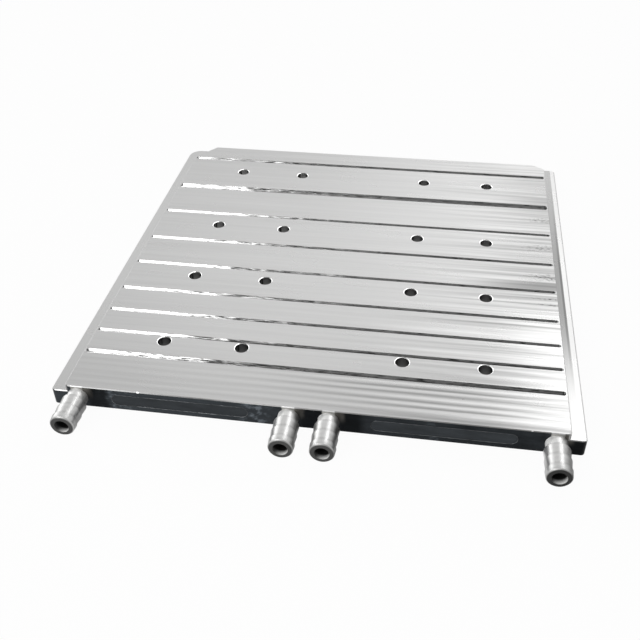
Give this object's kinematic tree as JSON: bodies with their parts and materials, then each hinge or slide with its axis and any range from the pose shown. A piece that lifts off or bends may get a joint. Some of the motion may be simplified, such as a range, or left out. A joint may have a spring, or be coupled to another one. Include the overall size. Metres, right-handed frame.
{
  "type": "liquid cooling plate",
  "caption": "Flat milled aluminium cold plate with cross grooves, through bolt holes, stepped side ledges and barbed hose stubs along one edge.",
  "frame": {"origin": "middle of the block's underside, on the bench or tray that the plate lies on", "axes": "+Z out of the grooved device face, +Y from the edge with the hose stubs to the plain rear edge, +X to the right along the stub edge when it faces the viewer"},
  "size_m": [0.4, 0.433, 0.02],
  "materials": {
    "milled_block": "face milled",
    "port_stub": "turned, satin",
    "brazed_cover": "milled, brazed at its rim"
  },
  "bodies": {
    "root": {"plate_body": "milled_block", "front_cover_left": "brazed_cover", "front_cover_right": "brazed_cover", "crossover_cover_left_outer": "brazed_cover", "crossover_cover_left_inner": "brazed_cover", "crossover_cover_right_outer": "brazed_cover", "crossover_cover_right_inner": "brazed_cover", "hose_stub_left_outer": "port_stub", "hose_stub_left_inner": "port_stub", "hose_stub_right_inner": "port_stub", "hose_stub_right_outer": "port_stub"}
  },
  "joints": []
}
